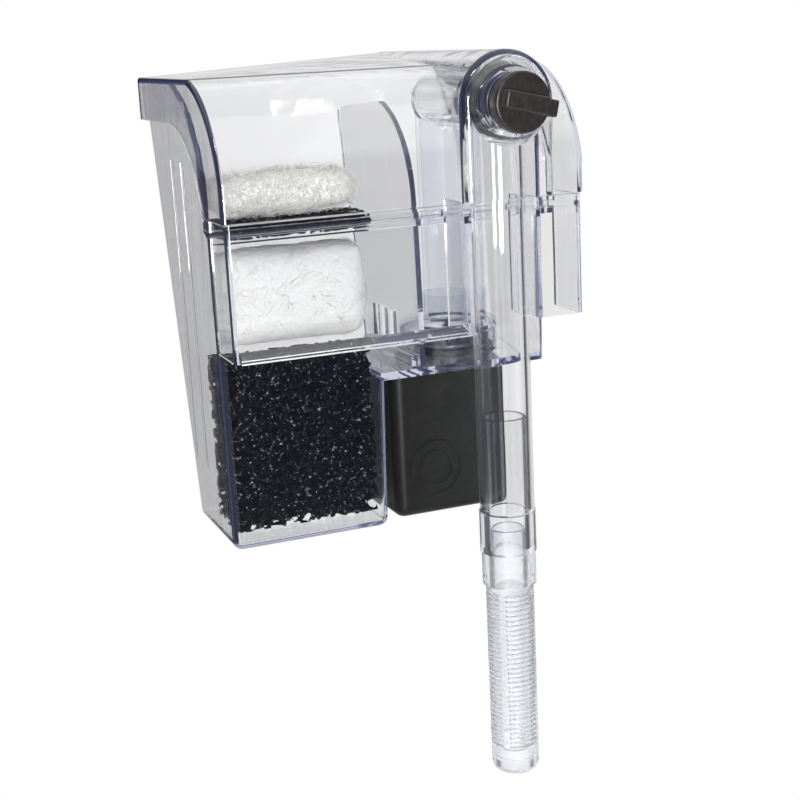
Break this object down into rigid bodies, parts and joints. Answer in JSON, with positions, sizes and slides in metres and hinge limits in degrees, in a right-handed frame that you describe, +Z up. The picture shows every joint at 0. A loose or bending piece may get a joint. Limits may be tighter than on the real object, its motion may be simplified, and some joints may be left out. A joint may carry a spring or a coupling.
{
  "type": "hang on back filter",
  "caption": "Clear hang on back aquarium filter: media box on the tank rim, spillway hood, arched lid, intake pipe with strainer, flow knob and submersible motor.",
  "frame": {"origin": "middle of the seat under the bridge, where the filter rests on the tank's glass rim", "axes": "+Z up, -Y into the tank, +X to the right seen from the tank side"},
  "size_m": [0.1046, 0.1026, 0.2144],
  "materials": {
    "clear_plastic": "clear polished",
    "strainer_plastic": "frosted translucent",
    "dark_plastic": "fine satin",
    "pump_plastic": "satin",
    "smoke_plastic": "smoked clear",
    "black_sponge": "open-cell foam",
    "white_floss": "loose fibre",
    "core_steel": "laminated",
    "copper_wire": "enamelled wire",
    "bobbin_nylon": "natural nylon",
    "resin": "cast resin",
    "seal_rubber": "moulded",
    "ceramic": "polished ceramic",
    "ferrite": "sintered",
    "impeller_plastic": "satin"
  },
  "bodies": {
    "box": {"filter_box": "clear_plastic", "partition_wall": "clear_plastic", "spillway_hood": "clear_plastic", "impeller_cover": "smoke_plastic", "upper_bush": "seal_rubber"},
    "lid_unit": {"lid": "clear_plastic", "level_pipe": "clear_plastic", "drop_pipe": "clear_plastic", "inner_leg": "clear_plastic"},
    "valve": {"flow_knob": "dark_plastic", "valve_plug": "dark_plastic", "knob_seal": "seal_rubber"},
    "extension": {"intake_extension": "clear_plastic"},
    "strainer_unit": {"strainer": "strainer_plastic", "strainer_cap": "strainer_plastic"},
    "motor": {"pump_housing": "pump_plastic", "pump_back_cover": "pump_plastic", "stator_core": "core_steel", "coil_bobbin": "bobbin_nylon", "coil_winding": "copper_wire", "potting": "resin", "cable_gland": "seal_rubber", "pump_seal": "seal_rubber", "pump_shaft": "ceramic", "lower_bush": "seal_rubber"},
    "rotor": {"impeller": "impeller_plastic", "rotor_magnet": "ferrite"},
    "media": {"sponge_block": "black_sponge", "floss_lower": "white_floss", "carbon_pad": "black_sponge", "floss_upper": "white_floss"}
  },
  "joints": [
    {"name": "lid_lift", "type": "slide", "parent": "box", "child": "lid_unit", "axis": [0, 0, 1], "range_m": [0, 0.04]},
    {"name": "knob_turn", "type": "hinge", "parent": "lid_unit", "child": "valve", "pos_m": [0.0287, -0.0114, 0.0332], "axis": [0, 1, 0], "range_deg": [0, 90]},
    {"name": "pipe_extend", "type": "slide", "parent": "lid_unit", "child": "extension", "axis": [0, 0, -1], "range_m": [0, 0.02]},
    {"name": "strainer_pull", "type": "slide", "parent": "extension", "child": "strainer_unit", "axis": [0, 0, -1], "range_m": [0, 0.006]},
    {"name": "pump_drop", "type": "slide", "parent": "box", "child": "motor", "axis": [0, 0, -1], "range_m": [0, 0.045]},
    {"name": "impeller_spin", "type": "hinge", "parent": "motor", "child": "rotor", "pos_m": [0.0287, 0.028, -0.05], "axis": [0, 0, 1], "continuous": true},
    {"name": "media_lift", "type": "slide", "parent": "box", "child": "media", "axis": [0, 0, 1], "range_m": [0, 0.02]}
  ],
  "couplings": [
    {"joint": "media_lift", "follows": "lid_lift", "ratio": 0.5}
  ]
}
